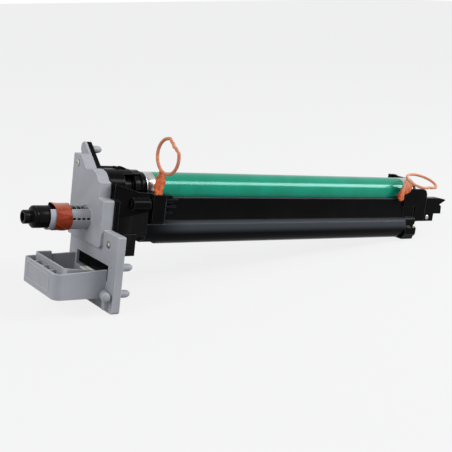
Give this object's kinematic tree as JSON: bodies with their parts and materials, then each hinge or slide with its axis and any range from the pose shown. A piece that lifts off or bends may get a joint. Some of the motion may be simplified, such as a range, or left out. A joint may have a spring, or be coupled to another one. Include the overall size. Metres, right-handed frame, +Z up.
{
  "type": "printer drum unit",
  "caption": "Photoconductor drum unit of an A3 colour copier: grey front cover with handle pocket and toner outlet, green drum, charge rollers, cleaning blade, waste auger, black frames.",
  "frame": {"origin": "where the drum's axis meets the raised front face of the grey cover", "axes": "+X along the drum from the cover to the rear frame, +Z up, +Y towards the charging unit"},
  "size_m": [0.5086, 0.0991, 0.1547],
  "materials": {
    "grey_abs": "fine spark texture",
    "black_abs": "satin",
    "black_acetal": "smooth",
    "white_acetal": "smooth",
    "orange_polypropylene": "smooth",
    "orange_tape": "smooth film",
    "aluminium_and_coat": "polished tube, coated green between its bare ends",
    "zinc_plated_steel": "bright",
    "spring_steel": "drawn",
    "conductive_rubber": "ground",
    "grey_foam": "open cell",
    "urethane": "smooth",
    "felt": "felt",
    "polyester_film": "smooth film"
  },
  "bodies": {
    "frame": {"front_cover": "grey_abs", "sill_bar": "white_acetal", "cover_screw_upper": "zinc_plated_steel", "cover_screw_lower": "zinc_plated_steel", "outlet_spring": "spring_steel", "outlet_tape": "orange_tape", "waste_pipe": "black_abs", "front_end_frame": "black_abs", "front_bush": "white_acetal", "rear_bush": "white_acetal", "drive_bearing": "zinc_plated_steel", "waste_housing": "black_abs", "blade_bracket": "zinc_plated_steel", "cleaning_blade": "urethane", "blade_screw_front": "zinc_plated_steel", "blade_screw_rear": "zinc_plated_steel", "recovery_sheet": "polyester_film", "end_seal_front": "felt", "end_seal_rear": "felt", "charge_housing": "black_abs", "charge_spring_front": "spring_steel", "charge_spring_rear": "spring_steel", "rear_end_frame": "black_abs", "rear_cover": "black_abs", "case_screw": "zinc_plated_steel", "foot_screw": "zinc_plated_steel", "pull_tab_front": "orange_polypropylene", "pull_tab_rear": "orange_polypropylene"},
    "drum": {"drum_tube": "aluminium_and_coat", "drum_flange_front": "black_acetal", "drum_flange_rear": "black_acetal"},
    "auger_drive": {"auger_drive_gear": "black_acetal"},
    "auger": {"waste_auger": "black_abs", "auger_gear": "white_acetal"},
    "charge_carriage": {"charge_bearing_front": "white_acetal", "charge_bearing_rear": "white_acetal"},
    "charge_roller": {"charge_roller": "conductive_rubber", "charge_shaft": "zinc_plated_steel"},
    "cleaning_roller": {"cleaning_roller": "grey_foam", "cleaner_shaft": "zinc_plated_steel"},
    "outlet_shutter": {"outlet_cap": "black_acetal"}
  },
  "joints": [
    {"name": "drum_spin", "type": "hinge", "parent": "frame", "child": "drum", "pos_m": [0, 0, 0], "axis": [1, 0, 0], "continuous": true},
    {"name": "charge_slide", "type": "slide", "parent": "frame", "child": "charge_carriage", "axis": [0, 1, 0], "range_m": [0, 0.0012], "stiffness_N_per_m": 4000, "springref_m": -0.0005, "deforming": ["charge_spring_front", "charge_spring_rear"]},
    {"name": "charge_roller_spin", "type": "hinge", "parent": "charge_carriage", "child": "charge_roller", "pos_m": [0, 0.02079, 0.00073], "axis": [1, 0, 0], "continuous": true},
    {"name": "cleaning_roller_spin", "type": "hinge", "parent": "charge_carriage", "child": "cleaning_roller", "pos_m": [0, 0.02544, -0.00733], "axis": [1, 0, 0], "continuous": true},
    {"name": "drive_spin", "type": "hinge", "parent": "frame", "child": "auger_drive", "pos_m": [0.4046, -0.00889, -0.01615], "axis": [1, 0, 0], "continuous": true},
    {"name": "auger_spin", "type": "hinge", "parent": "frame", "child": "auger", "pos_m": [0, 0.0032, -0.02782], "axis": [1, 0, 0], "continuous": true},
    {"name": "outlet_slide", "type": "slide", "parent": "frame", "child": "outlet_shutter", "axis": [1, 0, 0], "range_m": [0, 0.009], "stiffness_N_per_m": 120, "springref_m": -0.02, "deforming": ["outlet_spring"]}
  ],
  "couplings": [
    {"joint": "charge_roller_spin", "follows": "drum_spin", "ratio": -2.7273},
    {"joint": "cleaning_roller_spin", "follows": "drum_spin", "ratio": 4.2857},
    {"joint": "auger_spin", "follows": "drive_spin", "ratio": -1.2105}
  ]
}
